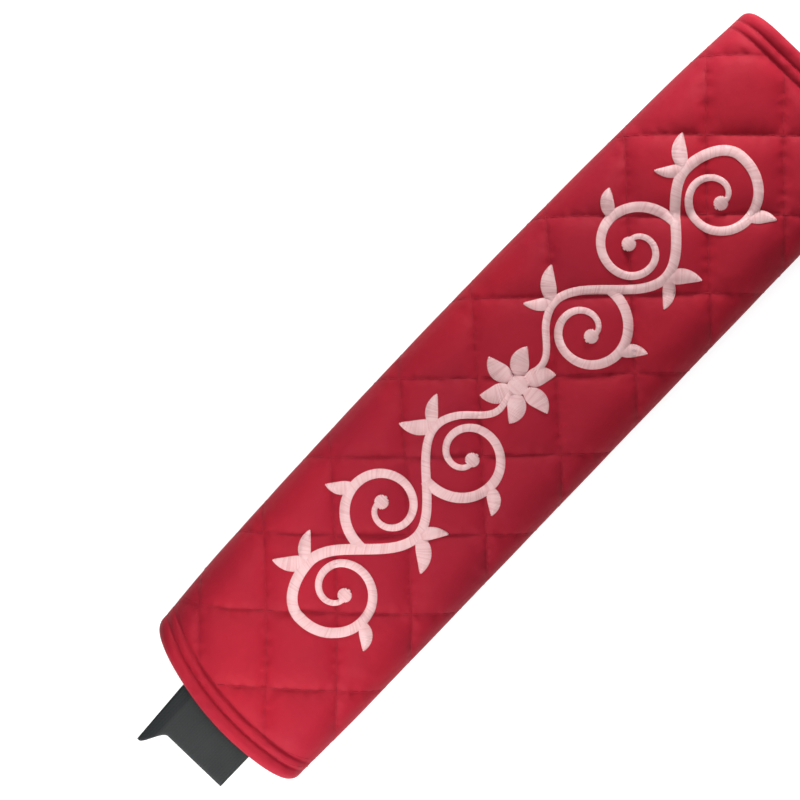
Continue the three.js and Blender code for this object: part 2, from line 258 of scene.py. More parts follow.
def quilt_spread():
    """Distances across the quilting for distances across the cloth, from the front's middle.

    Round the sides the seams follow the sleeve's width more than the cloth, so they look straight.
    """
    s = np.linspace(0, PANEL_WIDTH, 4001)
    _, _, _, inward_z = section(s)
    slope = np.maximum(np.abs(inward_z), LEAST_SPREAD)
    reached = np.concatenate([[0], np.cumsum((slope[1:] + slope[:-1]) / 2 * np.diff(s))])
    return s, reached - np.interp(FRONT_MIDDLE, s, reached)


SPREAD_S, SPREAD_ACROSS = quilt_spread()


def drift(factors, u, w):
    terms = (1, u, w, u * u, u * w, u**3, u * u * w)
    return sum(factor * term for factor, term in zip(factors, terms))


def lattice(s, x):
    """The two diagonal coordinates of the quilting; a seam runs where either is whole."""
    flat_y = -np.interp(s, SPREAD_S, SPREAD_ACROSS)
    within = np.clip(flat_y, -PAD_WIDTH / 2, PAD_WIDTH / 2)
    shown_x, shown_y = bowed(x, within)
    shown_y = shown_y + flat_y - within
    along = (shown_x - QUILT_SHIFT_ALONG) / QUILT_ALONG
    across = (-shown_y - QUILT_SHIFT_ACROSS) / QUILT_ACROSS
    u, w = shown_x / HALF, np.clip(shown_y / 32, -1.05, 1.05)
    return along + across + drift(DRIFT_ONE, u, w), along - across + drift(DRIFT_OTHER, u, w)


def pillow(s, x):
    one, other = lattice(s, x)
    return np.sqrt(np.abs(np.sin(np.pi * one) * np.sin(np.pi * other)))


def seam_distance(s, x):
    """Distance in millimetres to the nearest quilting seam or hem row."""
    one, other = lattice(s, x)
    quilted = np.minimum(np.abs(one - np.round(one)), np.abs(other - np.round(other))) * SEAM_PITCH
    from_end = HALF - np.abs(x)
    rows = np.minimum(*(np.abs(from_end - row) for row in HEM_ROWS))
    return np.where(from_end > HEM_ROW_TWO, np.minimum(quilted, rows), rows)


def crown(s):
    reach = ROLL_CENTRE + ROLL_RADIUS
    return FRONT_CROWN * np.clip(1 - ((s - FRONT_MIDDLE) / reach) ** 2, 0, 1)


def hem_rise(s, x):
    """The rolled outer edge, and the low ridge between the two sewn rows."""
    from_end = HALF - np.abs(x)
    edge = np.sin(np.pi * np.clip(from_end / HEM_ROW_ONE, 0, 1)) ** 0.7
    between = np.clip((from_end - HEM_ROW_ONE) / (HEM_ROW_TWO - HEM_ROW_ONE), 0, 1)
    rise = HEM_RISE * (edge + HEM_RIDGE_SHARE * np.sin(np.pi * between))
    for row in HEM_ROWS:
        rise = rise - HEM_GROOVE * np.exp(-(((from_end - row) / HEM_GROOVE_WIDTH) ** 2))
    return rise * puff_share(s)


def edge_round(s, x):
    radius = wall_at(s) / 2
    from_edge = np.minimum(np.minimum(HALF - np.abs(x), s), PANEL_WIDTH - s)
    short = np.maximum(radius - from_edge, 0)
    return radius - np.sqrt(np.maximum(radius**2 - short**2, 0))


# Stations of the fine grid


def beside(fixed, others, step):
    """Fixed stations, and those of the others that stand clear of them."""
    clear = [v for v in others if all(abs(v - f) > 0.4 * step for f in fixed)]
    return np.array(sorted([*fixed, *clear]))


def spread(fixed, low, high, origin, step):
    first, last = math.ceil((low - origin) / step), math.floor((high - origin) / step)
    return beside(fixed, [origin + k * step for k in range(first, last + 1)], step)


def across_stations():
    fold = [0, 0.3, 0.95, 1.9, POCKET_INSET + 0.6]
    fixed = [*fold, HEM_DEPTH, PANEL_WIDTH - OUTER_FACING]
    fixed += [PANEL_WIDTH - f for f in fold]
    step = QUILT_ACROSS / STEPS_PER_DIAMOND
    first, last = (math.ceil(v / step) for v in (SPREAD_ACROSS[0], SPREAD_ACROSS[-1]))
    aligned = np.interp(np.arange(first, last) * step + QUILT_SHIFT_ACROSS, SPREAD_ACROSS, SPREAD_S)
    inside = [s for s in aligned if 3 < s < PANEL_WIDTH - 3]
    halves = [(a + b) / 2 for a, b in zip(inside, inside[1:]) if b - a > 1.25 * step]
    return beside(fixed, [*inside, *halves], step)


def along_stations():
    hem = [0, 0.3, 1.0, 1.9, POCKET_INSET + 0.6, 3.6, 4.4, HEM_ROW_ONE, 5.4, 6.1, 7.0]
    hem += [7.7, HEM_ROW_TWO, 8.7, HEM_DEPTH]
    fixed = [h - HALF for h in hem] + [HALF - h for h in hem]
    step = QUILT_ALONG / STEPS_PER_DIAMOND
    inner = HALF - HEM_DEPTH
    return spread(fixed, -inner, inner, QUILT_SHIFT_ALONG, step)


ACROSS = across_stations()
ALONG = along_stations()


def crossings(s, fine):
    """The seams that the line at s crosses: each one's family and number, and its place along x."""
    for family, values in enumerate(lattice(np.full(fine.shape, s), fine)):
        whole = np.arange(math.ceil(values[0]), math.floor(values[-1]) + 1)
        for number, x in zip(whole, np.interp(whole, values, fine)):
            yield (family, int(number)), x


def sewn_grid():
    """The fine grid with vertices drawn onto the seams, a mask of those, and the seams' edges."""
    grid_s, grid_x = np.meshgrid(ACROSS, ALONG, indexing="ij")
    sewn = np.zeros(grid_s.shape, dtype=bool)
    reach = HALF - HEM_DEPTH - 0.8
    fine = np.linspace(-reach, reach, 1500)
    lines = {}
    for i, s in enumerate(ACROSS):
        if min(s, PANEL_WIDTH - s) < POCKET_INSET + 1:
            continue
        claims = {}
        for seam, crossing in crossings(s, fine):
            nearest = int(np.argmin(np.abs(ALONG - crossing)))
            claims.setdefault(nearest, []).append(crossing)
            lines.setdefault(seam, {})[i] = nearest
        for j, places in claims.items():
            grid_x[i, j] = sum(places) / len(places)
            sewn[i, j] = True
    edges = set()
    for places in lines.values():
        edges |= {((i, j), (i + 1, places[i + 1])) for i, j in places.items() if i + 1 in places}
    return grid_s, grid_x, sewn, edges


GRID_S, GRID_X, SEWN, SEAM_EDGES = sewn_grid()


# Simulated puffs

CLOTH_SETTINGS = {
    "quality": 6, "mass": 0.25, "tension_stiffness": 25, "compression_stiffness": 12,
    "shear_stiffness": 12, "bending_stiffness": 0.6, "tension_damping": 15, "air_damping": 4,
    "shrink_min": -0.022, "vertex_group_mass": "sewn", "use_pressure": True,
    "uniform_pressure_force": 9,
}
PUFF_FRAMES = 24
SIMULATION_SCALE = 20


def quilt_zone(s, x):
    inside = HALF - np.abs(x) > HEM_ROW_TWO + 0.2
    return inside & (s > RUNS["near_side"][0]) & (s < RUNS["far_side"][1])


def grid_faces(rows, columns):
    i, j = np.meshgrid(np.arange(rows - 1), np.arange(columns - 1), indexing="ij")
    a = (i * columns + j).ravel()
    return np.stack([a, a + columns, a + columns + 1, a + 1], axis=1)


def closed_faces(rows, columns):
    """Faces of a closed layer: a grid, the same grid behind it, and a wall round their border."""
    count = rows * columns
    faces = [list(f) for f in grid_faces(rows, columns)]
    faces += [[v + count for v in reversed(f)] for f in faces]
    grid = np.arange(count).reshape(rows, columns)
    border = [*grid[0], *grid[1:, -1], *grid[-1, -2::-1], *grid[-2:0:-1, 0]]
    return faces + [[a, b, b + count, a + count] for a, b in zip(border, border[1:] + border[:1])]


def linked(name, data):
    obj = bpy.data.objects.new(name, data)
    bpy.context.collection.objects.link(obj)
    return obj


def mesh_object(name, points, faces):
    mesh = bpy.data.meshes.new(name)
    mesh.from_pydata([tuple(p) for p in points], [], [tuple(f) for f in faces])
    mesh.update()
    return linked(name, mesh)


def write_uv(mesh, flat):
    """The cloth's UV map, in centimetres, from each vertex's place."""
    corner = np.empty(len(mesh.loops), dtype=int)
    mesh.loops.foreach_get("vertex_index", corner)
    mesh.uv_layers.new(name="cloth").data.foreach_set("uv", flat[corner].ravel())


def write_attribute(mesh, name, values, domain="POINT"):
    values = np.asarray(values, float)
    kind, key = ("FLOAT", "value") if values.ndim == 1 else ("FLOAT_VECTOR", "vector")
    mesh.attributes.new(name, kind, domain).data.foreach_set(key, values.ravel())


def inflated(start, sewn):
    """The quilted face blown up between its seams by the cloth solver, worked at a larger scale."""
    scale = SIMULATION_SCALE * MM
    rows, columns = start.shape[:2]
    obj = mesh_object("puff_sheet", start.reshape(-1, 3) * scale, grid_faces(rows, columns))
    group = obj.vertex_groups.new(name="sewn")
    group.add([int(k) for k in np.flatnonzero(sewn.ravel())], 1.0, "REPLACE")
    cloth = obj.modifiers.new("cloth", "CLOTH")
    for key, value in CLOTH_SETTINGS.items():
        setattr(cloth.settings, key, value)
    cloth.settings.effector_weights.gravity = 0
    cloth.collision_settings.use_collision = False
    cloth.point_cache.frame_start = 1
    cloth.point_cache.frame_end = PUFF_FRAMES
    scene = bpy.context.scene
    for number in range(1, PUFF_FRAMES + 1):
        scene.frame_set(number)
    shown = obj.evaluated_get(bpy.context.evaluated_depsgraph_get())
    points = np.empty(rows * columns * 3)
    shown.data.vertices.foreach_get("co", points)
    scene.frame_set(1)
    bpy.data.objects.remove(obj)
    return points.reshape(rows, columns, 3) / scale


def outer_face():
    """Points of the cover's outer face over the fine grid."""
    s, x = GRID_S, GRID_X
    zone = quilt_zone(s, x)
    lift = (crown(s) + SIDE_LIFT * turned(s) * fullness(s)) * smoothstep(HALF - np.abs(x), 0, 30)
    base_depth = edge_round(s, x) - hem_rise(s, x) - lift
    flat_seam = BACK_SEAM_DEPTH * (1 - pillow(s, x)) ** 2
    on_back = (1 - fullness(s)) * (s > RUNS["step_out"][0]) * (HALF - np.abs(x) > 3)
    base = placed(s, x, base_depth + flat_seam * on_back)
    rise = np.where(zone, PUFF_HEIGHT * pillow(s, x), 0)
    rest = placed(s, x, base_depth)
    puffed = inflated(placed(s, x, base_depth - PUFF_START * rise), SEWN | ~zone)
    moved = puffed - rest
    length = np.linalg.norm(moved, axis=-1, keepdims=True)
    moved *= PUFF_LIMIT * np.tanh(PUFF_GAIN * length / PUFF_LIMIT) / np.maximum(length, 1e-6)
    from_row = HALF - np.abs(x) - HEM_ROW_TWO
    share = puff_share(s) * smoothstep(from_row, 0, PUFF_RUN)
    groove = SEAM_GROOVE * np.exp(-((seam_distance(s, x) / SEAM_GROOVE_WIDTH) ** 2)) * share
    return base + moved * share[..., None] + (placed(s, x, base_depth + groove) - rest)


# The cover: a folded cloth shell with its edges turned in over the padding


def coarse_lines(stations, edges, every):
    """Indices of the stations that the cover's hidden faces use."""
    keep = {0, len(stations) - 1}
    keep |= {int(np.argmin(np.abs(stations - e))) for e in edges}
    ordered = sorted(keep)
    filled = []
    for a, b in zip(ordered, ordered[1:]):
        steps = max(1, round((b - a) / every))
        filled += [round(a + (b - a) * k / steps) for k in range(steps)]
    return [*filled, ordered[-1]]


class Shell:
    """Collects the cover's vertices and faces, with each vertex's place on the cloth."""

    def __init__(self):
        self.points, self.cloth, self.faces, self.known, self.creases = [], [], [], {}, set()

    def vertex(self, key, point, s, x):
        if key not in self.known:
            self.known[key] = len(self.points)
            self.points.append(point)
            self.cloth.append((s, x))
        return self.known[key]


def build_cover(face):
    shell = Shell()
    rows, columns = face.shape[:2]

    def outer(i, j):
        return shell.vertex(("outer", i, j), face[i, j], ACROSS[i], GRID_X[i, j])

    for i in range(rows - 1):
        for j in range(columns - 1):
            a, b, c, d = outer(i, j), outer(i + 1, j), outer(i + 1, j + 1), outer(i, j + 1)
            if ((i, j), (i + 1, j + 1)) in SEAM_EDGES:
                shell.faces += [[a, b, c], [a, c, d]]
            elif ((i, j + 1), (i + 1, j)) in SEAM_EDGES:
                shell.faces += [[a, b, d], [b, c, d]]
            else:
                shell.faces.append([a, b, c, d])
    shell.creases = {frozenset((outer(*one), outer(*other))) for one, other in SEAM_EDGES}

    inset = POCKET_INSET + 0.6
    folds = [0.3, 0.95, 1.9, inset]
    s_edges = [*folds, HEM_DEPTH, PANEL_WIDTH - OUTER_FACING, *(PANEL_WIDTH - f for f in folds)]
    x_edges = [e - HALF for e in (0.3, 1.0, 1.9, inset, HEM_DEPTH)]
    x_edges += [-e for e in x_edges]
    kept_i, kept_j = coarse_lines(ACROSS, s_edges, 3), coarse_lines(ALONG, x_edges, 5)
    cells = [(a, b) for a in range(len(kept_i) - 1) for b in range(len(kept_j) - 1)]
    hem, pocket = set(), set()
    for a, b in cells:
        s = (ACROSS[kept_i[a]] + ACROSS[kept_i[a + 1]]) / 2
        from_end = HALF - abs(ALONG[kept_j[b]] + ALONG[kept_j[b + 1]]) / 2
        if s < HEM_DEPTH or s > PANEL_WIDTH - OUTER_FACING or from_end < HEM_DEPTH:
            hem.add((a, b))
        if inset < s < PANEL_WIDTH - inset and from_end > inset:
            pocket.add((a, b))
    depths = {
        "hem": lambda s, x: wall_at(s) - edge_round(s, x),
        "under_hem": lambda s, x: wall_at(s) - COVER_THICKNESS,
        "pocket": lambda s, x: COVER_THICKNESS + edge_round(s, x),
    }

    def on_rim(i, j):
        return i in (0, rows - 1) or j in (0, columns - 1)

    def inner(kind, i, j):
        if kind == "hem" and on_rim(i, j):
            return outer(i, j)
        s, x = ACROSS[i], ALONG[j]
        return shell.vertex((kind, i, j), placed(s, x, depths[kind](s, x)), s, x)

    def span(a, b):
        return kept_i[a], kept_i[a + 1], kept_j[b], kept_j[b + 1]

    def add_cell(kind, a, b):
        i0, i1, j0, j1 = span(a, b)
        walk = [(i0, j) for j in range(j0, j1)] + [(i, j1) for i in range(i0, i1)]
        walk += [(i1, j) for j in range(j1, j0, -1)] + [(i, j0) for i in range(i1, i0, -1)]
        corners = {(i0, j0), (i0, j1), (i1, j0), (i1, j1)}
        kept = [p for p in walk if p in corners or (kind == "hem" and on_rim(*p))]
        shell.faces.append([inner(kind, i, j) for i, j in kept])

    def add_walls(one, other, a, b, ends):
        """Walls between two layers along the cell's sides where the layers end."""
        i0, i1, j0, j1 = span(a, b)
        sides = {
            (a - 1, b): ((i0, j0), (i0, j1)),
            (a + 1, b): ((i1, j1), (i1, j0)),
            (a, b - 1): ((i1, j0), (i0, j0)),
            (a, b + 1): ((i0, j1), (i1, j1)),
        }
        for cell, (p, q) in sides.items():
            if ends(cell):
                shell.faces.append([inner(one, *p), inner(one, *q), inner(other, *q), inner(other, *p)])

    for cell in cells:
        if cell in hem:
            add_cell("hem", *cell)
        if cell in pocket:
            add_cell("pocket", *cell)
            add_walls("pocket", "under_hem", *cell, lambda near: near not in pocket)
        if cell in hem and cell in pocket:
            add_cell("under_hem", *cell)
    for cell in cells:
        if cell in hem and cell in pocket:
            add_walls("hem", "under_hem", *cell, lambda near: near in pocket and near not in hem)
    return shell


def closed_shell(name, shell, material, levels=1):
    obj = mesh_object(name, np.array(shell.points) * MM, shell.faces)
    mesh = obj.data
    cloth = np.array(shell.cloth)
    write_uv(mesh, cloth[:, ::-1] / 10)
    write_attribute(mesh, "quilting", quilting_places(cloth[:, 0], cloth[:, 1]))
    outward(mesh)
    sharp = [SEAM_CREASE if frozenset(edge.vertices) in shell.creases else 0 for edge in mesh.edges]
    write_attribute(mesh, "crease_edge", sharp, "EDGE")
    mesh.materials.append(material)
    return smoothed(obj, levels)


def quilting_places(s, x):
    """The quilting's two coordinates, and 1 where the cloth is quilted or 0 over the hems."""
    quilted = smoothstep(HALF - np.abs(x), HEM_ROW_TWO - 0.5, HEM_ROW_TWO + 0.5)
    return np.stack([*lattice(s, x), quilted], axis=1)


def outward(mesh):
    work = bmesh.new()
    work.from_mesh(mesh)
    bmesh.ops.recalc_face_normals(work, faces=work.faces)
    if work.calc_volume(signed=True) < 0:
        bmesh.ops.reverse_faces(work, faces=work.faces)
    work.to_mesh(mesh)
    work.free()
    for face in mesh.polygons:
        face.use_smooth = True


def baked(obj):
    """The object with its modifiers worked into its mesh."""
    bpy.context.view_layer.update()
    graph = bpy.context.evaluated_depsgraph_get()
    mesh = bpy.data.meshes.new_from_object(
        obj.evaluated_get(graph), preserve_all_data_layers=True, depsgraph=graph
    )
    old = obj.data
    obj.modifiers.clear()
    obj.data = mesh
    bpy.data.meshes.remove(old)
    mesh.name = obj.name
    return obj


def smoothed(obj, levels):
    if levels:
        subdivision = obj.modifiers.new("rounding", "SUBSURF")
        subdivision.levels = levels
        subdivision.render_levels = levels
        baked(obj)
    return obj


# The foam and the lining: closed layers over the plain stations


def layer_object(name, inset, outer, inner, material, levels=1):
    s = spread([inset, PANEL_WIDTH - inset], inset, PANEL_WIDTH - inset, FRONT_MIDDLE, 3.0)
    x = np.linspace(inset - HALF, HALF - inset, 90)
    grid_s, grid_x = np.meshgrid(s, x, indexing="ij")
    shell = Shell()
    for face in (outer, inner):
        shell.points += [*placed(grid_s, grid_x, face(grid_s)).reshape(-1, 3)]
        shell.cloth += [*zip(grid_s.ravel(), grid_x.ravel())]
    shell.faces = closed_faces(*grid_s.shape)
    return closed_shell(name, shell, material, levels)


# Materials


def add_node(tree, kind, inputs=None, **settings):
    """A new node with its settings, and each input joined to a socket or given its value."""
    node = tree.nodes.new(kind)
    for key, value in settings.items():
        setattr(node, key, value)
    for key, value in (inputs or {}).items():
        if isinstance(value, bpy.types.NodeSocket):
            tree.links.new(value, node.inputs[key])
        else:
            node.inputs[key].default_value = value
    return node


class Finish:
    """A material's node tree, with short ways to add and join its nodes."""

    def __init__(self, name):
        self.material = bpy.data.materials.new(name)
        self.material.use_nodes = True
        self.tree = self.material.node_tree
        self.shader = self.tree.nodes["Principled BSDF"]

    def add(self, kind, inputs=None, **settings):
        return add_node(self.tree, kind, inputs, **settings)

    def set(self, **values):
        for key, value in values.items():
            self.shader.inputs[key.replace("_", " ")].default_value = value

    def join(self, socket, key):
        self.tree.links.new(socket, self.shader.inputs[key])

    def ramp(self, factor, stops):
        node = self.add("ShaderNodeValToRGB", {"Fac": factor})
        elements = node.color_ramp.elements
        while len(elements) < len(stops):
            elements.new(0.5)
        for element, (place, colour) in zip(elements, stops):
            element.position = place
            element.color = (*colour, 1)
        return node.outputs["Color"]

    def maths(self, operation, one, other=0.0):
        return self.add("ShaderNodeMath", {0: one, 1: other}, operation=operation).outputs[0]

    def noise(self, scale, detail=4):
        place = self.add("ShaderNodeTexCoord").outputs["Object"]
        node = self.add("ShaderNodeTexNoise", {"Scale": scale, "Detail": detail, "Vector": place})
        return node.outputs["Fac"]

    def mix(self, factor, one, other):
        one, other = (c if isinstance(c, bpy.types.NodeSocket) else (*c, 1) for c in (one, other))
        return self.add("ShaderNodeMix", {0: factor, 6: one, 7: other}, data_type="RGBA").outputs[2]

    def done(self, colour, normal=None, **values):
        """The finished material, with its colour, its surface and its even values."""
        self.join(colour, "Base Color")
        if normal is not None:
            self.join(normal, "Normal")
        self.set(**values)
        return self.material

    def bump(self, height, strength, distance, normal=None):
        inputs = {"Height": height, "Strength": strength, "Distance": distance}
        if normal is not None:
            inputs["Normal"] = normal
        return self.add("ShaderNodeBump", inputs).outputs["Normal"]

    def attribute(self, name, key="Fac"):
        return self.add("ShaderNodeAttribute", attribute_name=name).outputs[key]

    def parts(self, vector):
        return self.add("ShaderNodeSeparateXYZ", {"Vector": vector}).outputs

    def cloth(self):
        """The place on the cloth's UV map, in centimetres: X along it and Y across it."""
        return self.parts(self.add("ShaderNodeUVMap", uv_map="cloth").outputs["UV"])

    def fading(self, away, width):
        """1 at no distance, easing to 0 at the width."""
        inputs = {"Value": away, "From Max": width, "To Min": 1.0, "To Max": 0.0}
        return self.add("ShaderNodeMapRange", inputs, interpolation_type="SMOOTHSTEP").outputs["Result"]


def weave_height(finish, pitch_mm, weft_ratio=1.0):
    """Crossed rows of threads over the cloth's own UV map."""
    place = finish.cloth()
    turn = 2 * math.pi * 10 / pitch_mm
    warp = finish.maths("SINE", finish.maths("MULTIPLY", place["X"], turn))
    weft = finish.maths("SINE", finish.maths("MULTIPLY", place["Y"], turn * weft_ratio))
    return finish.maths("MULTIPLY", warp, weft)


def pucker_height(finish):
    """Short ripples that cross each seam and fade out beside it."""
    place = finish.parts(finish.attribute("quilting", "Vector"))
    wander = finish.maths("MULTIPLY", finish.noise(90, 2), 9.0)
    ripples = []
    for own, along in (("X", "Y"), ("Y", "X")):
        fade = finish.fading(finish.maths("PINGPONG", place[own], 0.5), PUCKER_REACH)
        turn = finish.maths("MULTIPLY", place[along], 2 * math.pi * PUCKERS_PER_DIAMOND)
        ripple = finish.maths("SINE", finish.maths("ADD", turn, wander))
        ripples.append(finish.maths("MULTIPLY", ripple, fade))
    return finish.maths("ADD", *ripples)


def seam_nearness(finish, width_mm):
    """1 on a sewn row, fading to 0 over the given width on each side of it."""
    place = finish.parts(finish.attribute("quilting", "Vector"))
    one, other = (finish.maths("PINGPONG", place[key], 0.5) for key in ("X", "Y"))
    quilted = finish.fading(finish.maths("MINIMUM", one, other), width_mm / SEAM_PITCH)
    nearness = finish.maths("MULTIPLY", quilted, place["Z"])
    along = finish.maths("ABSOLUTE", finish.cloth()["X"])
    for row in HEM_ROWS:
        away = finish.maths("ABSOLUTE", finish.maths("SUBTRACT", along, (HALF - row) / 10))
        nearness = finish.maths("MAXIMUM", nearness, finish.fading(away, width_mm / 10))
    return nearness


def cover_fabric():
    finish = Finish("red_satin_microfibre")
    fine = finish.noise(420, 5)
    base = finish.ramp(finish.noise(22, 3), [(0.3, (0.345, 0.0116, 0.0310)), (0.7, (0.50, 0.0137, 0.0315))])
    mottled = finish.mix(finish.maths("MULTIPLY", fine, 0.35), base, (0.32, 0.010, 0.024))
    cloudy = finish.mix(finish.maths("MULTIPLY", finish.noise(95, 4), 0.5), mottled, (0.33, 0.010, 0.027))
    # Painted shade: the cloth's colour is darkened along the quilting seams and hem rows, where shade falls
    # in the grooves.
    seams = finish.maths("MULTIPLY", seam_nearness(finish, 1.4), 0.16)
    colour = finish.mix(seams, cloudy, (0.20, 0.006, 0.017))
    rough = finish.maths("ADD", finish.maths("MULTIPLY", fine, 0.16), 0.56)
    finish.join(rough, "Roughness")
    weave = weave_height(finish, 0.42)
    lumps = finish.bump(finish.noise(130, 4), 0.3, 0.001)
    creased = finish.bump(finish.maths("MULTIPLY", seam_nearness(finish, 0.9), -1.0), 0.35, 0.0002, lumps)
    puckered = finish.bump(pucker_height(finish), 0.35, 0.0003, creased)
    return finish.done(
        colour, finish.bump(weave, 0.25, 0.00006, puckered), Specular_IOR_Level=0.2, IOR=1.4,
        Sheen_Weight=0.08, Sheen_Roughness=0.4, Sheen_Tint=(1.0, 0.25, 0.3, 1),
    )


def sewing_thread():
    finish = Finish("red_sewing_thread")
    red = finish.mix(finish.attribute("tone"), (0.30, 0.008, 0.021), (0.36, 0.010, 0.026))
    fuzz = finish.bump(finish.noise(2600, 2), 0.4, 0.0001)
    return finish.done(red, fuzz, Roughness=0.6, Specular_IOR_Level=0.2)


def embroidery_thread():
    finish = Finish("pale_rayon_thread")
    colour = finish.ramp(finish.attribute("tone"), [
        (0.0, (0.82, 0.48, 0.49)), (0.35, (0.90, 0.58, 0.58)), (1.0, (0.94, 0.66, 0.66)),
    ])
    mottle = finish.maths("MULTIPLY", finish.noise(300, 3), 0.3)
    fuzz = finish.bump(finish.noise(3000, 2), 0.3, 0.00008)
    mottled = finish.mix(mottle, colour, (0.78, 0.46, 0.48))
    return finish.done(mottled, fuzz, Roughness=0.38, Sheen_Weight=0.15, Specular_IOR_Level=0.5)


def underlay_thread():
    finish = Finish("embroidery_underlay")
    shade = finish.ramp(finish.noise(900, 3), [(0.3, (0.5, 0.27, 0.29)), (0.7, (0.66, 0.42, 0.44))])
    return finish.done(shade, Roughness=0.6)


def webbing_fabric():
    finish = Finish("charcoal_webbing")
    place = finish.cloth()
    lean = finish.maths("ADD", place["X"], finish.maths("PINGPONG", place["Y"], 0.25))
    twill = finish.maths("SINE", finish.maths("MULTIPLY", lean, 2 * math.pi * 8))
    ribs = finish.maths("SINE", finish.maths("MULTIPLY", place["Y"], 2 * math.pi * 12))
    height = finish.maths("ADD", finish.maths("MULTIPLY", twill, 0.6), ribs)
    base = finish.ramp(finish.noise(60, 4), [(0.3, (0.016, 0.018, 0.018)), (0.7, (0.030, 0.032, 0.032))])
    # Painted shade: the folded band along one side of the webbing and the narrow rim of its other side are
    # darkened where they turn from the light.
    edge = finish.maths("MULTIPLY", finish.attribute("painted_fold_shade"), 0.75)
    fold_shaded = finish.mix(edge, base, (0.006, 0.009, 0.010))
    lit = finish.maths("MULTIPLY", finish.maths("ADD", height, 2.0), 0.03)
    return finish.done(
        finish.mix(lit, fold_shaded, (0.08, 0.085, 0.09)), finish.bump(height, 0.2, 0.00006),
        Roughness=0.62, Specular_IOR_Level=0.2, Sheen_Weight=0.04, Sheen_Roughness=0.5,
    )


def lining_fabric():
    finish = Finish("black_knit_lining")
    knit = weave_height(finish, 1.3, 0.8)
    holes = finish.ramp(knit, [(0.35, (0.012, 0.012, 0.014)), (0.6, (0.045, 0.046, 0.05))])
    return finish.done(holes, finish.bump(knit, 0.6, 0.0003), Roughness=0.85, Sheen_Weight=0.3)


def foam_material():
    finish = Finish("open_cell_foam")
    cells = finish.add("ShaderNodeTexVoronoi", {"Scale": 900.0}, feature="DISTANCE_TO_EDGE")
    walls = cells.outputs["Distance"]
    base = finish.ramp(walls, [(0.0, (0.80, 0.76, 0.64)), (0.2, (0.55, 0.5, 0.4))])
    return finish.done(base, finish.bump(walls, 0.7, 0.0004), Roughness=0.95)


def tape_material(name, tint):
    finish = Finish(name)
    grain = finish.noise(1500, 3)
    colour = finish.ramp(grain, [(0.3, tint), (0.7, tuple(2.2 * c for c in tint))])
    return finish.done(colour, finish.bump(grain, 0.5, 0.0002), Roughness=0.7, Sheen_Weight=0.3)


# Threads and stitches: one tree that lays an arched thread at every point


def thread_tree():
    tree = bpy.data.node_groups.new("arched_threads", "GeometryNodeTree")
    for name, side, kind in (
        ("Geometry", "INPUT", "Geometry"), ("Thread radius", "INPUT", "Float"),
        ("Arch height", "INPUT", "Float"), ("Segments", "INPUT", "Int"), ("Sides", "INPUT", "Int"),
        ("Seed", "INPUT", "Int"), ("Thread", "INPUT", "Material"), ("Geometry", "OUTPUT", "Geometry"),
    ):
        tree.interface.new_socket(name, in_out=side, socket_type="NodeSocket" + kind)

    def add(kind, inputs=None, **settings):
        return add_node(tree, kind, inputs, **settings)

    def named(name):
        node = add("GeometryNodeInputNamedAttribute", {"Name": name}, data_type="FLOAT_VECTOR")
        return node.outputs["Attribute"]

    given = add("NodeGroupInput").outputs
    double = add("ShaderNodeMath", {0: given["Arch height"], 1: 2}, operation="MULTIPLY")
    peak = add("ShaderNodeCombineXYZ", {"Z": double.outputs[0]})
    arch = add("GeometryNodeCurveQuadraticBezier", {
        "Resolution": given["Segments"],
        "Start": (0, -0.5, 0), "Middle": peak.outputs[0], "End": (0, 0.5, 0),
    })
    ring = add("GeometryNodeCurvePrimitiveCircle", {
        "Resolution": given["Sides"], "Radius": given["Thread radius"],
    })
    tube = add("GeometryNodeCurveToMesh", {
        "Curve": arch.outputs["Curve"], "Profile Curve": ring.outputs["Curve"], "Fill Caps": True,
    })
    aim = add("FunctionNodeAlignRotationToVector", {"Vector": named("aim")}, axis="Y")
    up = add("FunctionNodeAlignRotationToVector", {
        "Rotation": aim.outputs["Rotation"], "Vector": named("up"),
    }, axis="Z", pivot_axis="Y")
    laid = add("GeometryNodeInstanceOnPoints", {
        "Points": given["Geometry"], "Instance": tube.outputs["Mesh"],
        "Rotation": up.outputs["Rotation"], "Scale": named("size"),
    })
    chance = add("FunctionNodeRandomValue", {"Seed": given["Seed"]}, data_type="FLOAT")
    tone = add("GeometryNodeStoreNamedAttribute", {
        "Geometry": laid.outputs["Instances"], "Name": "tone", "Value": chance.outputs[1],
    }, data_type="FLOAT", domain="INSTANCE")
    real = add("GeometryNodeRealizeInstances", {"Geometry": tone.outputs["Geometry"]})
    dressed = add("GeometryNodeSetMaterial", {
        "Geometry": real.outputs["Geometry"], "Material": given["Thread"],
    })
    add("NodeGroupOutput", {"Geometry": dressed.outputs["Geometry"]})
    return tree


def lay_threads(name, tree, laid, material, radius, arch, segments, sides, seed):
    """A mesh of threads: one for each laid (centre, aim, up, size) in millimetres."""
    centres, aims, ups, sizes = (np.array(part) for part in zip(*laid))
    obj = mesh_object(name, centres * MM, [])
    for key, values in (("aim", aims), ("up", ups), ("size", sizes)):
        write_attribute(obj.data, key, values)
    modifier = obj.modifiers.new("threads", "NODES")
    modifier.node_group = tree
    values = {
        "Thread radius": radius * MM, "Arch height": arch * MM, "Segments": segments,
        "Sides": sides, "Seed": seed, "Thread": material,
    }
    for item in tree.interface.items_tree:
        if item.in_out == "INPUT" and item.name in values:
            modifier[item.identifier] = values[item.name]
    baked(obj)
    for face in obj.data.polygons:
        face.use_smooth = True
    return obj


class Surface:
    """Finds points on the finished cover from places on the cloth."""

    def __init__(self, obj):
        work = bmesh.new()
        work.from_mesh(obj.data)
        self.tree = BVHTree.FromBMesh(work)
        work.free()

    def at(self, s, x):
        _, _, inward_y, inward_z = section(s)
        direction = Vector((0, float(inward_y), float(inward_z)))
        hit, normal, _, _ = self.tree.ray_cast(Vector(placed(s, x, SEARCH_FROM) * MM), direction, 0.02)
        if hit is None:
            return placed(s, x, 0.0), -np.array(direction)
        return np.array(hit) / MM, np.array(normal)


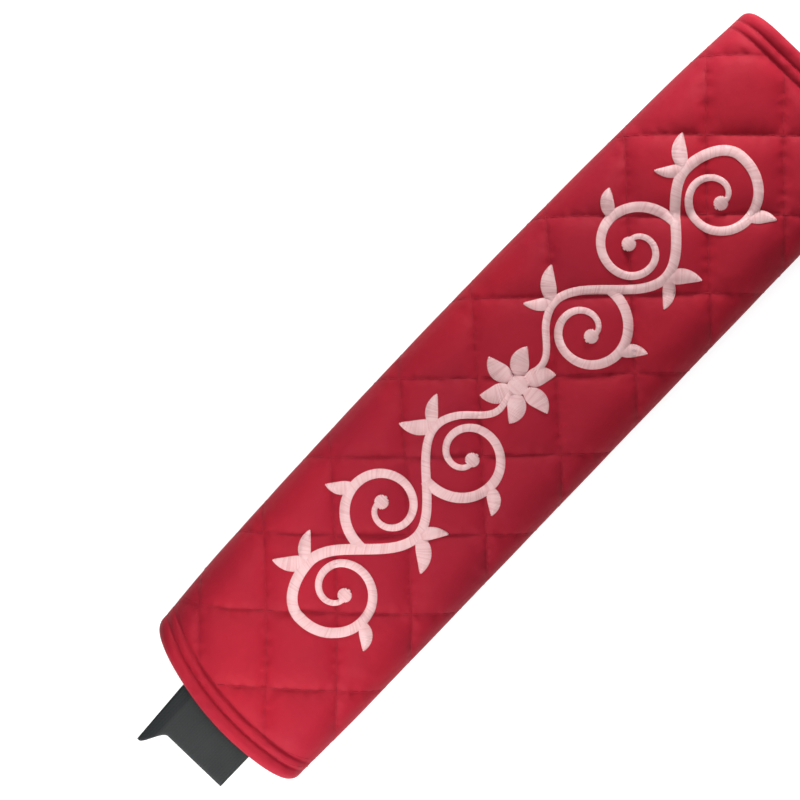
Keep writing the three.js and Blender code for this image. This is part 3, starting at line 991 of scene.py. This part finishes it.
def unit(vector):
    return vector / max(np.linalg.norm(vector), 1e-9)


def stitch_between(surface, one, other):
    """A stitch from one (s, x) to another, pressed a little into the cloth."""
    a, normal_a = surface.at(*one)
    b, normal_b = surface.at(*other)
    up = unit(normal_a + normal_b)
    span = b - a
    return (a + b) / 2 - up * STITCH_SINK, unit(span), up, (1.0, np.linalg.norm(span) * MM, 1.0)


def row_of_stitches(surface, path, length):
    """Stitches along a path on the cloth, given as a function from distance to (s, x)."""
    starts = [k * STITCH_PITCH for k in range(int(length / STITCH_PITCH))]
    return [stitch_between(surface, path(at), path(at + STITCH_LENGTH)) for at in starts]


def lengths_along(points):
    return np.concatenate([[0], np.cumsum(np.linalg.norm(np.diff(points, axis=0), axis=1))])


def quilting_stitches(surface):
    """Stitches along every seam of the quilting over the outside of the sleeve."""
    reach = HALF - HEM_ROW_TWO - 0.8
    fine = np.linspace(-reach, reach, 600)
    lines = {}
    for s in np.arange(RUNS["step_out"][0] + 2, PANEL_WIDTH - 4, 0.5):
        for seam, x in crossings(s, fine):
            lines.setdefault(seam, []).append((s, x))
    stitches = []
    for line in (np.array(places) for places in lines.values() if len(places) > 8):
        lengths = lengths_along(line)

        def path(distance, line=line, lengths=lengths):
            return tuple(np.interp(distance, lengths, line[:, k]) for k in (0, 1))

        stitches += row_of_stitches(surface, path, lengths[-1] - STITCH_LENGTH)
    return stitches


def hem_stitches(surface):
    stitches = []
    margin = 2.5
    for end in (-1, 1):
        for row in HEM_ROWS:
            path = lambda d, x=end * (HALF - row): (margin + d, x)
            stitches += row_of_stitches(surface, path, PANEL_WIDTH - 2 * margin)
    return stitches


def closure_stitches(surface):
    """Rows along the outer flap that sew down its edge and the tape behind it."""
    stitches = []
    reach = HALF - 12
    for s in (PANEL_WIDTH - 2.6, PANEL_WIDTH - OUTER_FACING + 2.6):
        path = lambda d, s=s: (s, -reach + d)
        stitches += row_of_stitches(surface, path, 2 * reach)
    return stitches


# The embroidered scroll


def even_samples(path, width, pitch):
    """Centre, direction and width every pitch along a flat path given over 0 to 1."""
    t = np.linspace(0, 1, 500)
    points = np.array([path(v) for v in t])
    lengths = lengths_along(points)
    count = max(2, int(lengths[-1] / pitch))
    at = np.interp(np.linspace(0, lengths[-1], count), lengths, t)
    ahead = lambda v: unit(path(min(v + 1e-3, 1)) - path(max(v - 1e-3, 0)))
    return [(path(v), ahead(v), width(v)) for v in at]


def lerp(a, b, t):
    return a + (b - a) * t


def leaf_stroke(root, tip, width):
    root, tip = np.array(root, float), np.array(tip, float)
    bow = np.array([-(tip - root)[1], (tip - root)[0]]) * 0.10
    path = lambda t: root + (tip - root) * t + bow * math.sin(math.pi * t)
    wide = lambda t: 0.5 + (width - 0.5) * math.sin(math.pi * min(1, t**0.85)) ** 0.8
    return path, wide, LEAF_SLANT, 0.0


def dot_stroke(centre, radius, lift):
    centre = np.array(centre, float)
    path = lambda t: centre + np.array([(2 * t - 1) * radius, 0])
    return path, lambda t: 2 * radius * math.sqrt(max(1 - (2 * t - 1) ** 2, 0.04)), 0.0, lift


def scroll_half(mirror):
    reach = SCROLL_HALF_WAVE / 2
    last_crest = SCROLL_START + SCROLL_HALF_WAVE * (SCROLL_WAVES - 0.5)
    last_sign = 1 if SCROLL_WAVES % 2 else -1

    def stem(t):
        """The waving stem up to its last crest, and from there a quarter round into the last curl."""
        if t > STEM_SHARE:
            angle = (t - STEM_SHARE) / (1 - STEM_SHARE) * math.pi / 2
            x, y = last_crest + reach * math.sin(angle), SCROLL_HEIGHT * math.cos(angle)
            return np.array([mirror * x, last_sign * y])
        x = lerp(STEM_START, last_crest, t / STEM_SHARE)
        wave = math.sin(math.pi * (x - SCROLL_START) / SCROLL_HALF_WAVE)
        ease = float(smoothstep(x, STEM_START, STEM_START + STEM_EASE))
        return np.array([mirror * x, SCROLL_HEIGHT * wave * ease])

    stem_width = lambda t: min(lerp(TIP_WIDTH, THREAD_WIDTH, math.sqrt(t / STEM_SHARE)), THREAD_WIDTH)
    strokes = [(stem, stem_width, STEM_SLANT, 0.05)]
    for k in range(SCROLL_WAVES):
        sign = -1 if k % 2 else 1
        crest = SCROLL_START + SCROLL_HALF_WAVE * (k + 0.5)
        drop = SCROLL_HEIGHT / 3
        start = math.atan2(drop, reach)

        def curl(t, sign=sign, crest=crest, start=start):
            angle = start - t * CURL_TURNS * 2 * math.pi
            radius = lerp(math.hypot(reach, drop), CURL_TIP_RADIUS, t**0.9)
            x = crest + radius * math.cos(angle)
            return np.array([mirror * x, sign * (radius * math.sin(angle) - drop)])

        strokes.append((curl, lambda t: lerp(THREAD_WIDTH, TIP_WIDTH, t), STEM_SLANT, 0.0))
        strokes.append(dot_stroke(curl(1), BERRY_RADIUS, BERRY_LIFT))
        top = sign * SCROLL_HEIGHT
        for root_x, tip_x, reach_y, wide in ((-1, 7, 8, LONG_LEAF), (1, -7, 6, SHORT_LEAF)):
            root = mirror * (crest + root_x), top
            strokes.append(leaf_stroke(root, (mirror * (crest + tip_x), top + sign * reach_y), wide))
        bend = curl(0.2)
        tip = (bend[0] + mirror * BUD_LENGTH, bend[1] - sign * BUD_LENGTH)
        strokes.append(leaf_stroke(bend, tip, BUD))
    return strokes


def blossom():
    strokes = []
    for k in range(PETAL_COUNT):
        angle = 2 * math.pi * (k + 0.5) / PETAL_COUNT
        ray = np.array([math.cos(angle), math.sin(angle)])
        strokes.append(leaf_stroke(ray * 0.7 * BLOSSOM_RADIUS, ray * PETAL_REACH, PETAL))
    strokes.append(dot_stroke((0, 0), BLOSSOM_RADIUS, CENTRE_LIFT))
    return strokes


def stroke_edges(surface, centre, side):
    """The cloth's points on both sides of a place on a stroke."""
    edges = centre + side, centre - side
    return [surface.at(FRONT_MIDDLE + SCROLL_ACROSS - y, x)[0] for x, y in edges]


def bridged(heights, window):
    """Heights lifted over the narrow dips, as a tight satin stitch lies over a seam."""
    kernel = np.ones(window) / window
    padded = np.pad(heights, window // 2, mode="edge")
    smooth = np.convolve(padded, kernel, mode="valid")[: len(heights)]
    return np.maximum(heights, smooth)


def rise_share(wide):
    """The share of the satin's full rise that a stroke of this width has."""
    return min(1.0, LEAST_RISE + (1 - LEAST_RISE) * wide / THREAD_WIDTH)


def satin_threads(surface, strokes):
    """A thread from edge to edge every pitch along each stroke."""
    laid = []
    for path, width, slant, lift in strokes:
        ends, wides = [], []
        for centre, ahead, wide in even_samples(path, width, SATIN_PITCH):
            side = np.array([-ahead[1], ahead[0]]) + ahead * slant
            ends.append(stroke_edges(surface, centre, side * wide / 2))
            wides.append(wide)
        ends = np.array(ends)
        for edge in (0, 1):
            ends[:, edge, 2] = bridged(ends[:, edge, 2], 9)
        for (left, right), wide in zip(ends, wides):
            span = right - left
            aim = unit(span)
            up = unit(np.array([0, 0, 1.0]) - aim * aim[2])
            centre = (left + right) / 2 + up * (0.02 + lift)
            laid.append((centre, aim, up, (1.0, np.linalg.norm(span) * MM, rise_share(wide))))
    return laid


def underlay_mesh(surface, strokes):
    """A low closed ridge under each satin stroke, so that no cloth shows between its threads."""
    points, faces = [], []
    for path, width, _, raised in strokes:
        samples = even_samples(path, width, UNDERLAY_PITCH)
        rings = []
        for centre, ahead, wide in samples:
            side = np.array([-ahead[1], ahead[0]]) * max(wide / 2 - 0.2, 0.15)
            left, right = stroke_edges(surface, centre, side)
            rings.append([left, (left + right) / 2, right])
        rings = np.array(rings)
        for k in range(3):
            rings[:, k, 2] = bridged(rings[:, k, 2], 5)
        first = len(points)
        for ring, (_, _, wide) in zip(rings, samples):
            lift = raised + SATIN_RISE * UNDERLAY_RISE * rise_share(wide)
            left, middle, right = ring
            points += [left, middle + [0, 0, lift], right, middle - [0, 0, 0.25]]
        count = len(rings)
        for k in range(count - 1):
            for side in range(4):
                a = first + 4 * k + side
                b = first + 4 * k + (side + 1) % 4
                faces.append([a, b, b + 4, a + 4])
        faces.append([first + 3, first + 2, first + 1, first])
        end = first + 4 * (count - 1)
        faces.append([end, end + 1, end + 2, end + 3])
    return points, faces


def embroidery(surface, tree):
    strokes = scroll_half(1) + scroll_half(-1) + blossom()
    points, faces = underlay_mesh(surface, strokes)
    base = mesh_object("embroidery_underlay", np.array(points) * MM, faces)
    outward(base.data)
    base.data.materials.append(underlay_thread())
    threads = lay_threads(
        "embroidered_vine", tree, satin_threads(surface, strokes), embroidery_thread(),
        SATIN_RADIUS, SATIN_RISE, 6, 5, 11,
    )
    return base, threads


# The webbing tail


def webbing_tail(material):
    low, high = (np.array(c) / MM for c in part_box("webbing_tail"))
    width = high[1] - low[1]
    thickness = high[2] - low[2]
    mouth = -HALF - LOWER_END_BOW
    tip_reach, end = low[0], mouth - TAIL_OUTSIDE
    rows, columns = 61, 121
    v = np.linspace(-1, 1, rows)
    t = np.linspace(0, 1, columns)
    finish_x = end + (tip_reach - end) * smoothstep(v, 0.5, 0.93)
    grid_v, grid_t = np.meshgrid(v, t, indexing="ij")
    x = high[0] + (finish_x[:, None] - high[0]) * grid_t
    beyond = np.clip((mouth - x) / (mouth - tip_reach), 0, 1)
    y = (low[1] + high[1]) / 2 + grid_v * width / 2
    y = y - TAIL_TAPER * beyond * (grid_v > 0) * grid_v**4
    fold = np.clip((grid_v - 0.72) / 0.28, 0, 1)
    sag = TAIL_SAG * beyond * (1 - grid_v**2) - TAIL_FOLD_DROP * fold * beyond
    edge = np.minimum(np.minimum(1 - np.abs(grid_v), (1 - grid_t) * 4), 1) * width / 2
    half = thickness / 2 * np.sqrt(np.clip(edge / TAIL_EDGE_RUN, 0.02, 1))
    ribs = RIB_RISE * np.sin(2 * np.pi * (grid_v + 1) * width / 2 / RIB_PITCH) * (edge > TAIL_EDGE_RUN)
    middle = (low[2] + high[2]) / 2 + sag
    top = np.stack([x, y, middle + half - TAIL_SKIN + ribs], axis=-1)
    bottom = np.stack([x, y, middle - half + TAIL_SKIN - ribs], axis=-1)
    points = np.concatenate([top.reshape(-1, 3), bottom.reshape(-1, 3)])
    obj = mesh_object("belt_webbing", points * MM, closed_faces(rows, columns))
    write_uv(obj.data, points[:, :2] / 10)
    # Where the webbing's colour takes painted shade: the folded band along one side and the narrow rim of
    # the other side.
    fold_shade_mask = smoothstep(grid_v, 0.66, 0.74) + 0.5 * smoothstep(-grid_v, 0.93, 0.99)
    write_attribute(obj.data, "painted_fold_shade", np.tile(np.clip(fold_shade_mask, 0, 1).ravel(), 2))
    outward(obj.data)
    obj.data.materials.append(material)
    return obj


# Hook and loop tapes


def tape(name, node, material):
    """A woven tape with soft edges in the place of the CAD strip."""
    low, high = (np.array(c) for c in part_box(node))
    work = bmesh.new()
    bmesh.ops.create_cube(work, size=1)
    size, middle = high - low, (high + low) / 2
    for vertex in work.verts:
        vertex.co = Vector(middle + np.array(vertex.co) * size * (1, 1, 0.55))
    long_edges = [e for e in work.edges if abs(e.verts[0].co.x - e.verts[1].co.x) > size[0] / 2]
    bmesh.ops.subdivide_edges(work, edges=long_edges, cuts=60, use_grid_fill=True)
    rim = [e for e in work.edges if e.is_boundary or e.calc_face_angle(0) > 1]
    bmesh.ops.bevel(work, geom=rim, offset=0.00022, segments=2, affect="EDGES")
    mesh = bpy.data.meshes.new(name)
    work.to_mesh(mesh)
    work.free()
    mesh.materials.append(material)
    outward(mesh)
    return linked(name, mesh)


def tape_pile(name, node, tree, material, side, pitch, length, arch, seed):
    """Small arched hooks or loops over one face of a tape."""
    low, high = (np.array(c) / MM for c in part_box(node))
    face = (low[2] + high[2]) / 2 + side * (high[2] - low[2]) * 0.27
    chance = np.random.default_rng(seed)
    laid = []
    for x in np.arange(low[0] + 1, high[0] - 1, pitch):
        for y in np.arange(low[1] + 1, high[1] - 1, pitch):
            turn = chance.uniform(0, math.pi)
            aim = np.array([math.cos(turn), math.sin(turn), 0])
            centre = np.array([x, y, face]) + np.append(chance.uniform(-0.2, 0.2, 2), 0)
            laid.append((centre, aim, np.array([0, 0, float(side)]), (1.0, length * MM, 1.0)))
    return lay_threads(name, tree, laid, material, 0.06, arch, 4, 3, seed)


# Putting the pieces together


def dress(obj, slot, *nodes):
    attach(obj, BODY)
    if nodes:
        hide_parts(*nodes)
    return obj


red = cover_fabric()
cover = closed_shell("quilted_sleeve", build_cover(outer_face()), red)
dress(cover, "cover_fabric", "quilted_cover")
surface = Surface(cover)

foam = layer_object(
    "foam_sheet", POCKET_INSET + 1.2,
    lambda s: COVER_THICKNESS + SEAT + 0 * s,
    lambda s: wall_at(s) - COVER_THICKNESS - 2 * SEAT - LINING_THICKNESS,
    foam_material(), 0,
)
dress(foam, "foam", "foam_padding")
lining = layer_object(
    "knit_lining", POCKET_INSET + 1.2,
    lambda s: wall_at(s) - COVER_THICKNESS - SEAT - LINING_THICKNESS,
    lambda s: wall_at(s) - COVER_THICKNESS - SEAT,
    lining_fabric(),
)
dress(lining, "lining_mesh", "inner_lining")

threads = thread_tree()
sewn = sewing_thread()
for name, laid, seed in (
    ("quilting_stitches", quilting_stitches(surface), 3),
    ("hem_stitches", hem_stitches(surface), 4),
    ("closure_stitches", closure_stitches(surface), 5),
):
    rows = lay_threads(name, threads, laid, sewn, STITCH_RADIUS, STITCH_ARCH, 5, 5, seed)
    dress(rows, "cover_fabric")

base, satin = embroidery(surface, threads)
dress(base, "embroidery_thread")
dress(satin, "embroidery_thread", "embroidered_scroll")

tail = webbing_tail(webbing_fabric())
dress(tail, "webbing", "webbing_tail")

hook_material = tape_material("black_hook_tape", (0.012, 0.012, 0.013))
loop_material = tape_material("black_loop_tape", (0.016, 0.016, 0.018))
dress(tape("hook_tape", "hook_strip", hook_material), "closure_tape", "hook_strip")
dress(tape("loop_tape", "loop_strip", loop_material), "closure_tape", "loop_strip")
hooks = tape_pile("tape_hooks", "hook_strip", threads, hook_material, 1, 1.5, 0.5, 0.28, 21)
loops = tape_pile("tape_loops", "loop_strip", threads, loop_material, -1, 1.2, 0.9, 0.26, 22)
dress(hooks, "closure_tape")
dress(loops, "closure_tape")


# Camera: straight down on the front, with the sleeve rising to the upper right

SLEEVE_TILT = math.radians(46.2)
FRAME_WIDTH = 244.0
AIM_ALONG, AIM_ACROSS = -27.8, 25.6
LENS, SENSOR = 120, 36

camera_data = bpy.data.cameras.new("camera")
camera_data.lens = LENS
camera_data.sensor_width = SENSOR
camera_data.clip_start = 0.01
camera = linked("camera", camera_data)
height = FRAME_WIDTH * LENS / SENSOR + SLEEVE_HEIGHT * 0.6
camera.location = (AIM_ALONG * MM, AIM_ACROSS * MM, height * MM)
camera.rotation_euler = (0, 0, -SLEEVE_TILT)
bpy.context.scene.camera = camera


# Stage and light


def backdrop_rays(tree):
    """1 for the rays that show the background itself, and 0 for those that carry light."""
    path = add_node(tree, "ShaderNodeLightPath").outputs
    seen = path["Is Camera Ray"]
    for ray in ("Is Glossy Ray", "Is Transmission Ray"):
        seen = add_node(tree, "ShaderNodeMath", {0: seen, 1: path[ray]}, operation="MAXIMUM").outputs[0]
    return seen


def floor():
    corners = [(x, y, -0.0002) for x, y in ((-3, -3), (3, -3), (3, 3), (-3, 3))]
    obj = mesh_object("floor", corners, [(0, 1, 2, 3)])
    finish = Finish("pale_floor")
    finish.set(Base_Color=(0.45, 0.45, 0.45, 1), Roughness=0.8, Emission_Color=(1, 1, 1, 1))
    finish.join(finish.maths("MULTIPLY", backdrop_rays(finish.tree), 0.82), "Emission Strength")
    obj.data.materials.append(finish.material)


def area_light(name, place, target, size, power):
    data = bpy.data.lights.new(name, "AREA")
    data.shape = "DISK"
    data.size = size
    data.energy = power
    lamp = linked(name, data)
    lamp.location = place
    lamp.visible_camera = False
    aim = Vector(target) - Vector(place)
    lamp.rotation_euler = aim.to_track_quat("-Z", "Y").to_euler()


def world_light(strength):
    world = bpy.data.worlds.new("studio")
    bpy.context.scene.world = world
    world.use_nodes = True
    tree = world.node_tree
    inputs = {"Value": backdrop_rays(tree), "To Min": strength, "To Max": 1.0}
    level = add_node(tree, "ShaderNodeMapRange", inputs)
    background = tree.nodes["Background"]
    background.inputs["Color"].default_value = (1, 1, 1, 1)
    tree.links.new(level.outputs["Result"], background.inputs["Strength"])


floor()
world_light(0.14)
area_light("key", (0.04, 0.13, 0.78), (0.0, 0, 0), 0.3, 1.52)
area_light("low_fill", (-0.28, -0.095, 0.11), (-0.10, 0, 0), 0.08, 0.40)
area_light("low_pool", (-0.13, -0.05, 0.11), (-0.13, -0.05, 0), 0.05, 0.028)
area_light("left_pool", (-0.08, 0.04, 0.10), (-0.08, 0.04, 0), 0.05, 0.023)
area_light("high_fill", (0.30, 0.17, 0.13), (0.10, 0, 0), 0.08, 1.0)

bpy.context.scene.view_settings.view_transform = "Standard"
